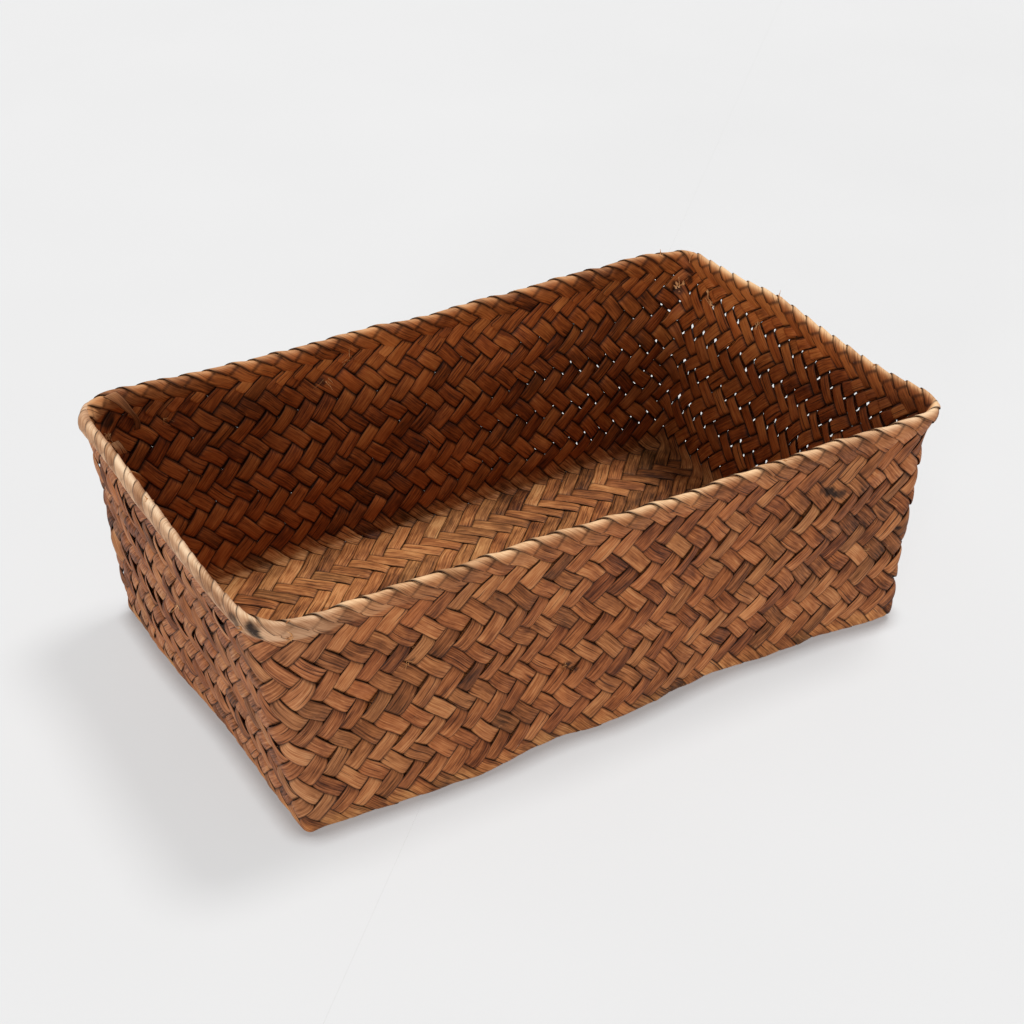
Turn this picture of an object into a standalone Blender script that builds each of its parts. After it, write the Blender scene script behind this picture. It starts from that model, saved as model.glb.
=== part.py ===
"""A rectangular bread basket plaited on the bias from flat seagrass strips.

The fabric is one two-ply sheet. Bands run at 45 degrees across the floor, fold up the walls at the base
edge, turn the corners, and end inside a folded rim that closes over a stiff hoop. Each band stands for
three neighbouring strips.

The fabric is laid out flat first, in columns. One column is the width that a band takes along an edge of
the base. The floor is x = 0..LONG_COLUMNS, y = 0..SHORT_COLUMNS. The walls are one ring, a = 0..RING_COLUMNS,
which starts at the front left corner and runs along the front, right, back and left, with b as the way up.
"""

import math

import bmesh
import bpy
import numpy as np
from mathutils import Vector

# Driving dimensions, in metres
RIM_LENGTH = 0.300
RIM_WIDTH = 0.183
HEIGHT = 0.0963
BASE_LENGTH = 0.2646
BASE_WIDTH = 0.1619
BAND_THICKNESS = 0.0009
PLY_GAP = 0.0004
RIM_THICKNESS = 0.0076
RIM_DEPTH = 0.0095
RIM_FOLD_THICKNESS = 0.0012
CORE_DIAMETER = 0.0042
RIM_CORNER_RADIUS = 0.0162
CLEARANCE = 0.0003

# The plait, in columns
LONG_COLUMNS = 10
SHORT_COLUMNS = 6
WALL_COLUMNS = 3.4
BAND_GAP = 0.12
RAMP_HALF_LENGTH = 0.05
TWILL_REPEAT = 4
TWILL_FLOAT = 2

ARC_STEPS = 6
PROFILE_STEPS = 8
SHARP_EDGE = math.radians(50)
TOUCHING = 1e-5

# Worked out from the above
RING_COLUMNS = 2 * (LONG_COLUMNS + SHORT_COLUMNS)
LIFT = (BAND_THICKNESS + PLY_GAP) / 2
FABRIC_HALF_THICKNESS = LIFT + BAND_THICKNESS / 2
FLOOR_Z = FABRIC_HALF_THICKNESS
CORE_Z = HEIGHT - RIM_THICKNESS / 2
BAND_END_Z = CORE_Z - CORE_DIAMETER / 2 - CLEARANCE
HALF_BASE = (BASE_LENGTH / 2 - FABRIC_HALF_THICKNESS, BASE_WIDTH / 2 - FABRIC_HALF_THICKNESS)
HALF_RIM = ((RIM_LENGTH - RIM_THICKNESS) / 2, (RIM_WIDTH - RIM_THICKNESS) / 2)
BAND_END = WALL_COLUMNS * (BAND_END_Z - FLOOR_Z) / (CORE_Z - FLOOR_Z)

# A flat facet at each corner lies as far inside the rim's arc in the middle as it lies outside at its ends
FACET_SHARE = 0.64
FACET_CUT = FACET_SHARE * RIM_CORNER_RADIUS
FACET_CHORD = math.sqrt(2) * FACET_CUT
LONG_FLAT = 2 * (HALF_RIM[0] - FACET_CUT)
FACET_COLUMNS = LONG_COLUMNS * FACET_CHORD / (LONG_FLAT + FACET_CHORD) / 2
FACET_SLOPE = FACET_COLUMNS / WALL_COLUMNS

# Corners in ring order: the column each starts at, and the signs of its x and y
CORNER_COLUMNS = (0, LONG_COLUMNS, LONG_COLUMNS + SHORT_COLUMNS, 2 * LONG_COLUMNS + SHORT_COLUMNS)
CORNER_SIGNS = ((-1, -1), (1, -1), (1, 1), (-1, 1))
SIDE_COLUMNS = (LONG_COLUMNS, SHORT_COLUMNS, LONG_COLUMNS, SHORT_COLUMNS)
SIDE_NAMES = ("front", "right", "back", "left")
CORNER_NAMES = ("front_left", "front_right", "back_right", "back_left")

SEAGRASS_TONES = (
    (0.33, 0.17, 0.085),
    (0.27, 0.14, 0.070),
    (0.38, 0.21, 0.110),
    (0.30, 0.18, 0.100),
)
RIM_TONE = (0.50, 0.30, 0.16)
CORE_TONE = (0.42, 0.27, 0.14)
SEAGRASS_ROUGHNESS = 0.62
RIM_ROUGHNESS = 0.50
CORE_ROUGHNESS = 0.55


def clear_scene():
    for obj in list(bpy.data.objects):
        bpy.data.objects.remove(obj, do_unlink=True)


def make_material(name, colour, roughness):
    material = bpy.data.materials.new(name)
    material.use_nodes = True
    shader = material.node_tree.nodes["Principled BSDF"]
    shader.inputs["Base Color"].default_value = (*colour, 1.0)
    shader.inputs["Roughness"].default_value = roughness
    shader.inputs["Metallic"].default_value = 0.0
    return material


# ---- The shape of the basket: flat layout to place -------------------------------------------------------


def side_ends(side, height_share):
    """The start and end of one wall's flat part, at this share of the way from floor to core."""
    z = FLOOR_Z + height_share * (CORE_Z - FLOOR_Z)
    half = [low + height_share * (high - low) for low, high in zip(HALF_BASE, HALF_RIM)]
    cut = height_share * FACET_CUT
    ends = []
    for corner in (side, (side + 1) % 4):
        sign_x, sign_y = CORNER_SIGNS[corner]
        ends.append(Vector((sign_x * half[0], sign_y * half[1], z)))
    inward = (ends[1] - ends[0]).normalized() * cut
    return ends[0] + inward, ends[1] - inward


def plane_normal(points, outward):
    """The unit normal of the plane through three points, on the side that outward is on."""
    normal = (points[1] - points[0]).cross(points[2] - points[0]).normalized()
    return normal if normal.dot(outward) > 0 else -normal


def wall_normals():
    """The outward normals of the four walls and of the four corner facets."""
    walls, facets = [], []
    for side in range(4):
        low_start, low_end = side_ends(side, 0)
        high_start, _ = side_ends(side, 1)
        middle = (low_start + low_end) / 2
        walls.append(plane_normal((low_start, low_end, high_start), Vector((middle.x, middle.y, 0))))
        _, before = side_ends((side + 3) % 4, 1)
        facets.append(plane_normal((low_start, before, high_start), Vector((low_start.x, low_start.y, 0))))
    return walls, facets


WALL_NORMALS, FACET_NORMALS = wall_normals()
FLOOR_NORMAL = Vector((0, 0, -1))


def floor_sheet(x, y):
    """A floor point of the mid-surface, and the normals of the faces that it lies on."""
    place = Vector(
        (
            (2 * x / LONG_COLUMNS - 1) * HALF_BASE[0],
            (2 * y / SHORT_COLUMNS - 1) * HALF_BASE[1],
            FLOOR_Z,
        )
    )
    return place, [FLOOR_NORMAL]


def ring_sheet(a, b):
    """A wall point of the mid-surface, and the normals of the faces that it lies on."""
    a %= RING_COLUMNS
    side = max(i for i in range(4) if a >= CORNER_COLUMNS[i])
    along = a - CORNER_COLUMNS[side]
    height_share = b / WALL_COLUMNS
    margin = FACET_SLOPE * b
    if along > SIDE_COLUMNS[side] - margin:
        side = (side + 1) % 4
        along -= SIDE_COLUMNS[side - 1]
    start, end = side_ends(side, height_share)
    if along < margin:
        _, before = side_ends((side + 3) % 4, height_share)
        place = before.lerp(start, (along + margin) / (2 * margin))
        normals = [FACET_NORMALS[side]]
        if abs(along - margin) < TOUCHING:
            normals.append(WALL_NORMALS[side])
        if abs(along + margin) < TOUCHING:
            normals.append(WALL_NORMALS[side - 1])
    else:
        place = start.lerp(end, (along - margin) / (SIDE_COLUMNS[side] - 2 * margin))
        normals = [WALL_NORMALS[side]]
        if abs(along - margin) < TOUCHING and b > TOUCHING:
            normals.append(FACET_NORMALS[side])
        if abs(along - SIDE_COLUMNS[side] + margin) < TOUCHING and b > TOUCHING:
            normals.append(FACET_NORMALS[(side + 1) % 4])
    if b < TOUCHING:
        normals.append(FLOOR_NORMAL)
    return place, normals


def offset_place(place, normals, distance):
    """The point moved outwards so that it is this far from every face it lies on, as in a mitre."""
    mitre = np.linalg.lstsq(np.array([tuple(n) for n in normals]), np.ones(len(normals)), rcond=None)[0]
    return place + Vector(mitre) * distance


def closed_mesh(name, bm):
    """The finished mesh of one closed body, with its faces pointing out."""
    bmesh.ops.recalc_face_normals(bm, faces=bm.faces)
    if bm.calc_volume(signed=True) < 0:
        bmesh.ops.reverse_faces(bm, faces=bm.faces)
    mesh = bpy.data.meshes.new(name)
    bm.to_mesh(mesh)
    bm.free()
    return mesh


# ---- The bands ------------------------------------------------------------------------------------------


class Exit:
    """Where a band leaves the floor, and how it runs on up the walls.

    At across-coordinate s the band meets the edge at along-coordinate along_0 + along_s * s and at ring
    column ring_0 + ring_s * s. Going up, it moves turn columns along the ring for each column of height.
    """

    def __init__(self, direction, along_0, along_s, ring_0, ring_s, turn):
        self.direction = direction
        self.along_0, self.along_s = along_0, along_s
        self.ring_0, self.ring_s = ring_0, ring_s
        self.turn = turn

    def edge(self, across):
        return self.along_0 + self.along_s * across

    def height(self, along, across):
        return self.direction * (along - self.edge(across)) / 2

    def column(self, along, across):
        return self.ring_0 + self.ring_s * across + self.turn * self.height(along, across)


def exits_of(falling, across):
    """The low and high exits of a band. A falling band has x + y fixed, and a rising one x - y."""
    if falling:
        low = (
            Exit(-1, 0, -1, RING_COLUMNS, -1, -1)
            if across < SHORT_COLUMNS
            else Exit(-1, -2 * SHORT_COLUMNS, 1, RING_COLUMNS, -1, 1)
        )
        high = Exit(1, 0, 1, 0, 1, 1) if across < LONG_COLUMNS else Exit(1, 2 * LONG_COLUMNS, -1, 0, 1, -1)
    else:
        low = Exit(-1, 0, 1, 0, 1, -1) if across > 0 else Exit(-1, 0, -1, RING_COLUMNS, 1, 1)
        high = (
            Exit(1, 2 * SHORT_COLUMNS, 1, 2 * LONG_COLUMNS, -1, -1)
            if across < LONG_COLUMNS - SHORT_COLUMNS
            else Exit(1, 2 * LONG_COLUMNS, -1, 2 * LONG_COLUMNS, -1, 1)
        )
    return low, high


def is_inner(falling, across, along, exits):
    """Whether the band is the inner or upper ply where it crosses the other set at this coordinate."""
    for leaving in exits:
        height = leaving.height(along, across)
        if height > -TOUCHING:
            right_leaning_inner = round(2 * height) % TWILL_REPEAT < TWILL_FLOAT
            return right_leaning_inner == (leaving.turn > 0)
    rows = round(across - along) if falling else round(along - across)
    falling_inner = rows % TWILL_REPEAT < TWILL_FLOAT
    return falling_inner == falling


def ply_steps(falling, across, exits):
    """The along-coordinates where the band changes ply, and the offset on both sides of each."""
    first = math.floor(exits[0].edge(across) - 2 * BAND_END) - 1
    last = math.ceil(exits[1].edge(across) + 2 * BAND_END) + 1
    offsets = [
        -LIFT if is_inner(falling, across, cell + 0.5, exits) else LIFT for cell in range(first, last + 1)
    ]
    return offsets[0], [
        (cell, offsets[cell - first]) for cell in range(first + 1, last + 1)
        if offsets[cell - first] != offsets[cell - first - 1]
    ]


def ply_offset(along, first_offset, steps):
    """How far outwards the band's middle is, with a straight ramp at each step."""
    offset = first_offset
    for cell, after in steps:
        share = (along - cell + RAMP_HALF_LENGTH) / (2 * RAMP_HALF_LENGTH)
        if share <= 0:
            break
        offset += (after - offset) * min(share, 1.0)
    return offset


def cut_across(bm, faces, point, normal):
    """New edges where the plane meets these faces."""
    geometry = {element for face in faces for element in (face, *face.edges, *face.verts)}
    bmesh.ops.bisect_plane(bm, geom=list(geometry), dist=1e-7, plane_co=point, plane_no=normal)


def cut_facet_lines(bm, leaving):
    """New edges where the band turns from a wall to a corner facet and on to the next wall."""
    for corner in (*CORNER_COLUMNS, RING_COLUMNS):
        for slope in (-FACET_SLOPE, FACET_SLOPE):
            faces = [
                face for face in bm.faces
                if all(leaving.height(v.co.x, v.co.y) > -TOUCHING for v in face.verts)
            ]
            rate = (leaving.turn - slope) * leaving.direction / 2
            along = (corner - leaving.ring_0 + rate * leaving.along_0) / rate
            normal = (rate, leaving.ring_s - rate * leaving.along_s, 0)
            cut_across(bm, faces, (along, 0, 0), normal)


def placed(vertex, first_offset, steps, exits, falling):
    """The place in the basket of a vertex of the flat band."""
    along, across, side = vertex
    on_floor = True
    for leaving in exits:
        height = leaving.height(along, across)
        if height > -TOUCHING:
            place, normals = ring_sheet(leaving.column(along, across), max(height, 0.0))
            on_floor = False
    if on_floor:
        backwards = across - along if falling else along - across
        place, normals = floor_sheet((across + along) / 2, backwards / 2)
    distance = ply_offset(along, first_offset, steps) + side * BAND_THICKNESS / 2
    return offset_place(place, normals, distance)


def band_mesh(name, falling, across):
    """One band: a flat slab, cut at every fold and ramp, then folded into the basket."""
    exits = exits_of(falling, across)
    first_offset, steps = ply_steps(falling, across, exits)
    bm = bmesh.new()
    bmesh.ops.create_cube(bm, size=2.0)
    for vertex in bm.verts:
        leaving = exits[vertex.co.x > 0]
        vertex.co.y = across + vertex.co.y * (1 - BAND_GAP) / 2
        vertex.co.x = leaving.edge(vertex.co.y) + leaving.direction * 2 * BAND_END
    for leaving in exits:
        cut_across(bm, bm.faces, (leaving.along_0, 0, 0), (1, -leaving.along_s, 0))
    for leaving in exits:
        cut_facet_lines(bm, leaving)
    for cell, _ in steps:
        for along in (cell - RAMP_HALF_LENGTH, cell + RAMP_HALF_LENGTH):
            cut_across(bm, bm.faces, (along, 0, 0), (1, 0, 0))
    for vertex in bm.verts:
        vertex.co = placed(vertex.co.copy(), first_offset, steps, exits, falling)
    return closed_mesh(name, bm)


# ---- The rim --------------------------------------------------------------------------------------------


def rim_point(corner, angle, offset, z):
    """A point of the rim: offset outwards from its middle line, at this angle round a corner's arc."""
    height_share = (z - FLOOR_Z) / (CORE_Z - FLOOR_Z)
    radius = RIM_CORNER_RADIUS * height_share
    sign_x, sign_y = CORNER_SIGNS[corner]
    half = [low + height_share * (high - low) for low, high in zip(HALF_BASE, HALF_RIM)]
    return Vector(
        (
            sign_x * (half[0] - radius) + (radius + offset) * math.cos(angle),
            sign_y * (half[1] - radius) + (radius + offset) * math.sin(angle),
            z,
        )
    )


def corner_angles(corner):
    """The angles at the start and the end of a corner's arc, in ring order."""
    return math.radians(180 + 90 * corner), math.radians(270 + 90 * corner)


def fold_profile():
    """The outline of the folded rim, an upside-down U, as pairs of offset and height over the core."""
    outer = RIM_THICKNESS / 2
    inner = outer - RIM_FOLD_THICKNESS
    leg = RIM_THICKNESS / 2 - RIM_DEPTH
    angles = [math.pi * step / PROFILE_STEPS for step in range(PROFILE_STEPS + 1)]
    over = [(outer * math.cos(angle), outer * math.sin(angle)) for angle in angles]
    under = [(inner * math.cos(angle), inner * math.sin(angle)) for angle in reversed(angles)]
    return [(outer, leg), *over, (-outer, leg), (-inner, leg), *under, (inner, leg)]


def fold_mesh(name, stations):
    """The folded rim through these stations: a straight prism with one stretch for each, then placed."""
    bm = bmesh.new()
    outline = [bm.verts.new((0, offset, height)) for offset, height in fold_profile()]
    end = bm.faces.new(outline)
    for number in range(1, len(stations)):
        grown = bmesh.ops.extrude_face_region(bm, geom=[end])["geom"]
        bmesh.ops.translate(bm, vec=(1, 0, 0), verts=[e for e in grown if isinstance(e, bmesh.types.BMVert)])
        if number > 1:
            bmesh.ops.delete(bm, geom=[end], context="FACES_ONLY")
        end = next(element for element in grown if isinstance(element, bmesh.types.BMFace))
    for vertex in bm.verts:
        station, offset, height = vertex.co
        corner, angle, advance = stations[round(station)]
        along = Vector((-math.sin(angle), math.cos(angle), 0))
        vertex.co = rim_point(corner, angle, offset, CORE_Z + height) + along * advance
    mesh = closed_mesh(name, bm)
    mesh.shade_smooth()
    mesh.set_sharp_from_angle(angle=SHARP_EDGE)
    return mesh


def side_stations(side):
    """The two ends of a side's fold, each held back from the corner piece."""
    _, leaving = corner_angles(side)
    following = (side + 1) % 4
    arriving, _ = corner_angles(following)
    return [(side, leaving, CLEARANCE), (following, arriving, -CLEARANCE)]


def corner_stations(corner):
    """The steps of a corner's arc: the corner, the angle, and no shift along the rim."""
    first, last = corner_angles(corner)
    return [(corner, first + (last - first) * step / ARC_STEPS, 0.0) for step in range(ARC_STEPS + 1)]


def add_core(collection, material):
    """The hoop inside the rim: a closed tube along the rim's middle line."""
    curve = bpy.data.curves.new("rim_core", "CURVE")
    curve.dimensions = "3D"
    curve.bevel_depth = CORE_DIAMETER / 2
    curve.bevel_resolution = 2
    stations = [station for corner in range(4) for station in corner_stations(corner)]
    points = [rim_point(corner, angle, 0.0, CORE_Z) for corner, angle, _ in stations]
    spline = curve.splines.new("POLY")
    spline.points.add(len(points) - 1)
    for point, place in zip(spline.points, points):
        point.co = (*place, 1.0)
    spline.use_cyclic_u = True
    return add_object("rim_core", curve, material, collection)


# ---- Assembly -------------------------------------------------------------------------------------------


def add_object(name, data, material, collection):
    """A named object of the basket, under the collection's empty."""
    obj = bpy.data.objects.new(name, data)
    data.materials.append(material)
    collection.objects.link(obj)
    obj.parent = collection.objects["bread_basket"]
    return obj


def add_bands(collection, materials):
    """The 16 falling and 16 rising bands, as they look on the floor from above."""
    for number in range(LONG_COLUMNS + SHORT_COLUMNS):
        for falling, set_name, across in (
            (True, "falling", number + 0.5),
            (False, "rising", number + 0.5 - SHORT_COLUMNS),
        ):
            name = f"seagrass_band_{set_name}_{number + 1:02d}"
            material = materials[(number + 2 * falling) % len(materials)]
            add_object(name, band_mesh(name, falling, across), material, collection)


def main():
    clear_scene()
    collection = bpy.data.collections.new("bread_basket")
    bpy.context.scene.collection.children.link(collection)
    collection.objects.link(bpy.data.objects.new("bread_basket", None))
    seagrass = [
        make_material(f"seagrass_{number + 1}", tone, SEAGRASS_ROUGHNESS)
        for number, tone in enumerate(SEAGRASS_TONES)
    ]
    add_bands(collection, seagrass)
    add_core(collection, make_material("cane", CORE_TONE, CORE_ROUGHNESS))
    rim_material = make_material("seagrass_rim", RIM_TONE, RIM_ROUGHNESS)
    for side in range(4):
        name = f"rim_fold_{SIDE_NAMES[side]}"
        add_object(name, fold_mesh(name, side_stations(side)), rim_material, collection)
        name = f"rim_fold_{CORNER_NAMES[side]}_corner"
        add_object(name, fold_mesh(name, corner_stations(side)), rim_material, collection)


main()
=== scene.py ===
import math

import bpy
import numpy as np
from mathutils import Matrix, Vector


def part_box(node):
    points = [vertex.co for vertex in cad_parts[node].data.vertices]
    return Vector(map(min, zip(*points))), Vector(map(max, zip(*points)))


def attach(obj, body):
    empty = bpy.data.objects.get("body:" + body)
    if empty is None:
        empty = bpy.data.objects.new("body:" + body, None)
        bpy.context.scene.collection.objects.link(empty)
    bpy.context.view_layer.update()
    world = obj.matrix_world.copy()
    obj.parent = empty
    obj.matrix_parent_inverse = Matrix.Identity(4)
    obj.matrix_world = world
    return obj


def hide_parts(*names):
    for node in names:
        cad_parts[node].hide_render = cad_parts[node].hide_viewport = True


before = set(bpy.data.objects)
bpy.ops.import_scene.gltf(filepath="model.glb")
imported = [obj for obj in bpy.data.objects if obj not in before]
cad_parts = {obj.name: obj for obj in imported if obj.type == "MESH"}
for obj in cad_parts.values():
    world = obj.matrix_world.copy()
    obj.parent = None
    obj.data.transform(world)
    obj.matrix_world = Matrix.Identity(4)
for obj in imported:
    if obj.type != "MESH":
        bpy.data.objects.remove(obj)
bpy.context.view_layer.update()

# The looks of a bread basket plaited on the bias from 96 dried seagrass strips. The fabric is laid out flat
# in columns, one column being a strip's width along an edge of the base. The floor is x = 0..LONG,
# y = 0..SHORT. The walls are one ring, a = 0..RING, from the front left corner along the front, right, back
# and left, with b as the way up. Every strip is a straight ribbon on this layout: it runs along one
# coordinate, r, at a fixed other one, s, and r goes from one end, over the rim, down a wall, across the
# floor, up a wall and over the rim again. Lengths are in metres and layout coordinates are in columns.

# ---- The plait ------------------------------------------------------------------------------------------

LONG, SHORT = 30, 18
RING = 2 * (LONG + SHORT)
STRIPS_PER_BAND = 3
STRIP_THICKNESS = 0.0005
STRIP_GAP = -0.018  # share of a column left open between neighbours, which overlap a little
PINHOLE_GAP = 0.072  # the same where the plait is slack and lets light through
PLY_LIFT = 0.00044  # how far a strip's middle lies from the middle of the fabric
FLOAT_ARCH = 0.00024  # how much further it bulges in the middle of a float
CROWN = 0.00014  # how much a strip's edges curl back
LENS = 0.07  # how much wider than at its ends a float is in the middle
RAMP = 0.33  # half the length of the slope between over and under
WALL_REPEAT, WALL_FLOAT = 4, 2
FLOOR_REPEAT, FLOOR_FLOAT = 6, 3
EVEN_HEIGHT = 10.2  # height of the hoop if the strips climbed evenly, in columns
LEAN_FROM = 9.2  # height where they start to lean over along the rim
CORE_AT = 10.55  # height of the hoop as they do climb
WRAP = 1.35  # way round the hoop, in columns
TUCK = 0.02  # way on beyond it, in columns
SWELL_FROM = 9.5  # height where the walls start to part round the hoop
RIM_OVERLAP = 0.15  # how much the strips overlap on the rim, as a share of a column
RIM_LIFT = 0.00048  # how far the upper edge of each stands out there
PETAL_REACH, RIDGE_REACH = 1.3, 0.27  # how far down from the ridge the strips are paler, and bleached with a painted highlight
CUT_END_LOW = 9.2  # how far down the cut ends reach, in columns
ROWS_PER_UNIT, ACROSS = 7, 8  # mesh rows for each unit along a strip, and faces across it

# ---- How it has settled: sizes in metres ----------------------------------------------------------------

PLAIT_WAVES = ((31, 0.022, 0.00042), (32, 0.055, 0.0005))  # seed, wavelength and size of the uneven plait
BELLY = 0.0011  # how far the walls bow in and out
FRONT_BULGES = ((0.0052, -0.085, 0.055), (0.0028, -0.002, 0.032))  # size, x and width, low on the front wall
FRONT_RIGHT_FOOT, LEFT_FOOT, RIGHT_FOOT = 0.0036, 0.0030, 0.0016  # how far the base is out there
BACK_LEFT_LEAN, FRONT_RIGHT_WAIST = 0.0014, 0.0026  # how far these corners are in at the rim and halfway up
FRONT_RIM_RISE = 0.0012
# How far the rim stands up at its high places, and their x, y and width
RIM_RISES = ((0.0022, -0.13, 0.075, 0.05), (0.0018, 0.14, 0.01, 0.05), (0.0013, 0.09, 0.09, 0.035))
RIM_WAVES = (0.0005, 0.0006, 0.0003)  # of the rim along x, y and z

# ---- How uneven the strips are --------------------------------------------------------------------------

BACK_SLACK = 0.62  # how slack the back wall is, against 1 on the right wall
LOOSE_RIGHT, LOOSE_BACK, LOOSE_FRONT = 0.6, 0.7, 0.5  # how far the floats bulge, against 1 at the left end
LOOSE_PLY, LOOSE_ARCH, LOOSE_TILT = 0.4, 1.7, 1.2  # how much further the plies part, the floats arch and tilt
RIGHT_WALL_SHEEN = 2.0  # painted light: how much paler the rising strips are on the right wall
FLOOR_END_SHADE = 1.9  # painted shade: how much darker the floor is at its right end

# ---- The shape, read from the frame ---------------------------------------------------------------------

core_low, core_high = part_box("rim_core")
CORE_RADIUS = (core_high.z - core_low.z) / 2
CORE_Z = (core_high.z + core_low.z) / 2
HALF_RIM = (core_high.x - CORE_RADIUS, core_high.y - CORE_RADIUS)
HOOP_RADIUS = 0.4 * CORE_RADIUS  # the fold is flatter than the CAD's tube, so the cane in it is thinner
FOLD_WIDTH, FOLD_HEIGHT = CORE_RADIUS, CORE_RADIUS + 0.0017  # half sizes of the fold's outer ply
PLY_STEP = 0.0007  # how much closer the inner ply of the fold lies
FLOOR_Z = 0.0011
LOWEST = STRIP_THICKNESS / 2 + 0.00002  # the least height of a strip's middle


def base_half_size():
    """Half the length and width of the base, over the lowest points of the bands, to their middle."""
    lowest = [v.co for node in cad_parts.values() for v in node.data.vertices if v.co.z < 1e-5]
    return max(p.x for p in lowest) - FLOOR_Z, max(p.y for p in lowest) - FLOOR_Z


BASE_EASE = 0.0008  # the rounded edge looks as far out as the sharp one
HALF_BASE = tuple(half + BASE_EASE for half in base_half_size())
EDGE_RADIUS = 0.0026
RIM_CORNER_RADII = (0.0155, 0.0110, 0.0085, 0.0155)  # front left, front right, back right, back left
WALL_RISE = CORE_Z - FLOOR_Z
WALL_LENGTH = WALL_RISE - EDGE_RADIUS * (1 - math.pi / 4)
COLUMN_RISE = WALL_LENGTH / EVEN_HEIGHT
STRIP_UNIT = 2 * HALF_BASE[0] / LONG * math.sqrt(0.5)
CORNERS = (0, LONG, LONG + SHORT, 2 * LONG + SHORT)
# The right and back walls, as their middle on the ring and half their length
FAR_MIDDLE, FAR_HALF = (CORNERS[3] + CORNERS[1]) / 2, (CORNERS[3] - CORNERS[1]) / 2


def smooth(x):
    x = np.clip(x, 0.0, 1.0)
    return x * x * (3 - 2 * x)


def wander(seed, x, wavelength, terms=5):
    """A smooth random curve through x, about -1 to 1, the same each run."""
    rng = np.random.default_rng(seed)
    total = np.zeros_like(np.asarray(x, float))
    for _ in range(terms):
        stretch = rng.uniform(0.6, 1.8)
        total += np.sin(2 * math.pi * x / (wavelength * stretch) + rng.uniform(0, 2 * math.pi))
    return total / math.sqrt(terms) * 0.8


def eased(distance, flat, radius):
    """Where a point this far out on the unrolled sheet lies on the sharp box, so that it is evenly spaced
    once the edge is rounded."""
    past = np.clip((np.abs(distance) - flat) / radius, 0, math.pi / 4)
    return np.sign(distance) * (np.minimum(np.abs(distance), flat) + radius * np.tan(past))


def rounded(x, y, z, radius):
    """The place and the outward normal of a point of the sharp box, once its edges are rounded and its
    walls lean out."""
    flat_x, flat_y = HALF_BASE[0] - radius, HALF_BASE[1] - radius
    flat = [np.clip(x, -flat_x, flat_x), np.clip(y, -flat_y, flat_y), np.maximum(z, EDGE_RADIUS)]
    near = np.stack(flat, -1)
    out = np.stack([x, y, z], -1) - near
    normal = out / np.linalg.norm(out, axis=-1, keepdims=True)
    place = near + normal * np.asarray(radius)[..., None]
    share = place[..., 2] / WALL_RISE
    lean = [high / low - 1 for low, high in zip(HALF_BASE, HALF_RIM)]
    scale = [1 + each * share for each in lean]
    place[..., 0] *= scale[0]
    place[..., 1] *= scale[1]
    normal = np.stack([normal[..., 0] / scale[0], normal[..., 1] / scale[1], normal[..., 2]], -1)
    for axis in (0, 1):
        normal[..., 2] -= place[..., axis] / scale[axis] * lean[axis] * normal[..., axis] / WALL_RISE
    place[..., 2] += FLOOR_Z
    return place, normal / np.linalg.norm(normal, axis=-1, keepdims=True)


def floor_sheet(x, y):
    """Place and outward normal on the floor."""
    sharp = []
    for value, columns, half in ((x, LONG, HALF_BASE[0]), (y, SHORT, HALF_BASE[1])):
        flat = half - EDGE_RADIUS
        reach = flat + math.pi / 4 * EDGE_RADIUS
        sharp.append(eased((2 * value / columns - 1) * reach, flat, EDGE_RADIUS))
    return rounded(sharp[0], sharp[1], np.zeros_like(x), np.full_like(x, EDGE_RADIUS))


def ring_sheet(a, b):
    """Place and outward normal on the walls, b columns up."""
    lean = (EVEN_HEIGHT - LEAN_FROM) / (CORE_AT - LEAN_FROM)
    rise = COLUMN_RISE * (np.minimum(b, LEAN_FROM) + np.maximum(b - LEAN_FROM, 0) * lean)
    turned = EDGE_RADIUS * math.pi / 4
    z = np.where(
        rise < turned,
        EDGE_RADIUS * (1 - np.tan(math.pi / 4 - np.minimum(rise, turned) / EDGE_RADIUS)),
        EDGE_RADIUS + rise - turned,
    )
    a = np.mod(a, RING)
    side = np.searchsorted(CORNERS, a, side="right") - 1
    columns = np.where(side % 2 == 0, LONG, SHORT)
    at_rim = np.array(RIM_CORNER_RADII * 2)
    share = smooth(((a - np.array(CORNERS)[side]) / columns - 0.3) / 0.4)
    at_rim = at_rim[side] * (1 - share) + at_rim[side + 1] * share
    radius = EDGE_RADIUS + (at_rim - EDGE_RADIUS) * np.maximum(z - EDGE_RADIUS, 0) / (WALL_RISE - EDGE_RADIUS)
    half = np.where(side % 2 == 0, HALF_BASE[0], HALF_BASE[1])
    flat = half - radius
    reach = flat + math.pi / 4 * radius
    along = eased((2 * (a - np.array(CORNERS)[side]) / columns - 1) * reach, flat, radius)
    x = np.choose(side, [along, HALF_BASE[0], -along, -HALF_BASE[0]])
    y = np.choose(side, [-HALF_BASE[1], along, HALF_BASE[1], -along])
    return rounded(x, y, z, radius)


def swirl(seed, place, wavelength, size):
    """A smooth random shift of a place in all three directions, the same for everything near it."""
    rng = np.random.default_rng(seed)
    shift = np.zeros_like(place)
    terms = 7
    for _ in range(terms):
        wave = rng.normal(size=3)
        wave *= 2 * math.pi / (wavelength * rng.uniform(0.7, 1.6)) / np.linalg.norm(wave)
        shift += np.sin(place @ wave + rng.uniform(0, 2 * math.pi))[..., None] * rng.normal(size=3)
    return shift * size / math.sqrt(terms)


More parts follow.
